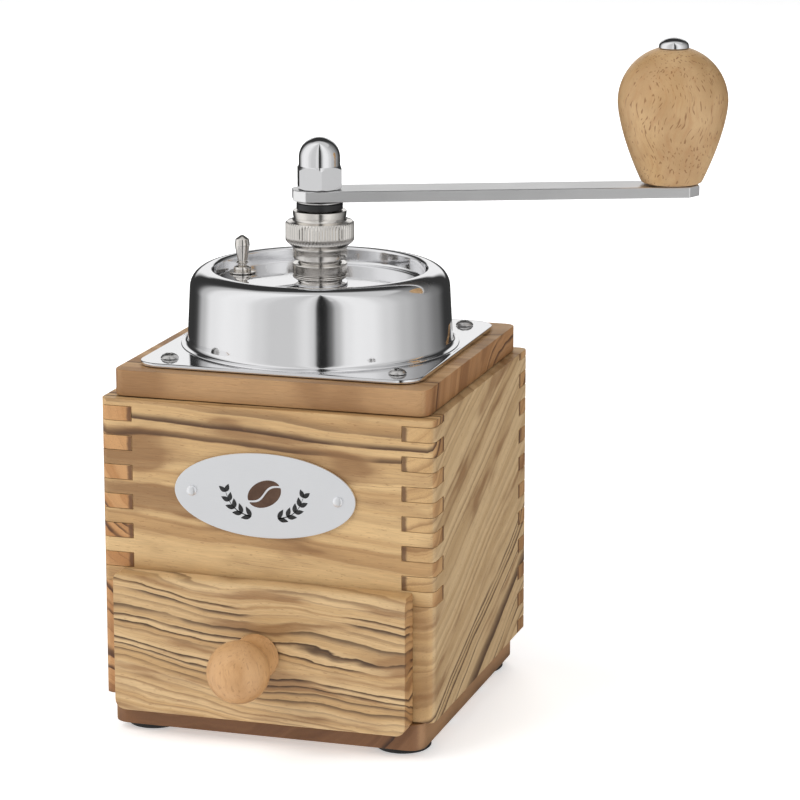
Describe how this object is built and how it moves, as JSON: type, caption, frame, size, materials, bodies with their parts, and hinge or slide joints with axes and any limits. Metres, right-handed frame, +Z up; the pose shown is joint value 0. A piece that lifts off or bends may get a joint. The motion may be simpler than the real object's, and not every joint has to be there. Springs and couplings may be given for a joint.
{
  "type": "box coffee mill",
  "caption": "Hand coffee grinder: finger-jointed wooden box with a drawer, a steel hopper dome with a turning shutter, conical burrs, a knurled adjusting nut and a crank.",
  "frame": {"origin": "middle of the whole mill's footprint, crank and drawer knob included, on the surface that the feet stand on", "axes": "+Z up along the crank shaft, -Y towards the drawer's front, +X to the right of someone facing the drawer"},
  "size_m": [0.1708, 0.1444, 0.2068],
  "materials": {
    "olive_wood": "oiled, satin, with dark flowing grain",
    "beech": "clear lacquered, satin",
    "drawer_wood": "bare sanded",
    "chrome": "mirror polished",
    "nickel": "nickel plated, bright, finely turned",
    "steel": "machined",
    "cast_iron": "rough cast, matt",
    "black_rubber": "matt",
    "black_plastic": "satin moulded",
    "satin_aluminium": "satin anodised"
  },
  "bodies": {
    "root": {"base_board": "olive_wood", "front_panel": "olive_wood", "back_panel": "olive_wood", "left_panel": "olive_wood", "right_panel": "olive_wood", "top_board": "olive_wood", "hopper_dome": "chrome", "bearing_bush": "nickel", "bush_lock_ring": "nickel", "bush_ring_nut": "nickel", "base_screw_front_left": "steel", "base_screw_front_right": "steel", "base_screw_back_left": "steel", "base_screw_back_right": "steel", "dome_screw_front_left": "steel", "dome_screw_front_right": "steel", "dome_screw_back_left": "steel", "dome_screw_back_right": "steel", "housing_screw_1": "steel", "housing_screw_2": "steel", "housing_screw_3": "steel", "outer_burr": "steel", "lift_spring": "steel", "nameplate_pin_left": "steel", "nameplate_pin_right": "steel", "bearing_bridge": "cast_iron", "burr_housing": "cast_iron", "foot_front_left": "black_rubber", "foot_front_right": "black_rubber", "foot_back_left": "black_rubber", "foot_back_right": "black_rubber", "nameplate": "satin_aluminium"},
    "lift": {"thrust_ring": "black_plastic"},
    "nut": {"adjusting_nut": "nickel"},
    "cover": {"hopper_cover": "chrome", "cover_lever": "nickel"},
    "crank": {"crank_shaft": "steel", "crank_arm": "chrome", "arm_washer": "steel", "cap_nut": "nickel", "spring_seat": "steel", "inner_burr": "steel", "burr_washer": "steel", "burr_nut": "steel", "handle_spindle": "steel", "spindle_cap": "chrome"},
    "handle": {"handle_knob": "beech"},
    "drawer": {"drawer_front": "olive_wood", "drawer_left_side": "drawer_wood", "drawer_right_side": "drawer_wood", "drawer_back": "drawer_wood", "drawer_bottom": "drawer_wood", "drawer_knob": "beech", "drawer_knob_screw": "steel"}
  },
  "joints": [
    {"name": "grind_lift", "type": "slide", "parent": "root", "child": "lift", "axis": [0, 0, 1], "range_m": [-0.00083, 0.00042], "deforming": ["lift_spring"]},
    {"name": "adjust_turn", "type": "hinge", "parent": "lift", "child": "nut", "pos_m": [-0.03288, 0.01511, 0.1474], "axis": [0, 0, 1], "range_deg": [-300, 150]},
    {"name": "crank_spin", "type": "hinge", "parent": "lift", "child": "crank", "pos_m": [-0.03288, 0.01511, 0.1598], "axis": [0, 0, 1], "continuous": true},
    {"name": "handle_spin", "type": "hinge", "parent": "crank", "child": "handle", "pos_m": [0.06838, 0.05519, 0.182], "axis": [0, 0, 1], "continuous": true},
    {"name": "cover_turn", "type": "hinge", "parent": "root", "child": "cover", "pos_m": [-0.03288, 0.01511, 0.1323], "axis": [0, 0, 1], "range_deg": [0, 110]},
    {"name": "drawer_slide", "type": "slide", "parent": "root", "child": "drawer", "axis": [0, -1, 0], "range_m": [0, 0.08]}
  ],
  "couplings": [
    {"joint": "adjust_turn", "follows": "grind_lift", "rad_per_m": 6283.2}
  ]
}
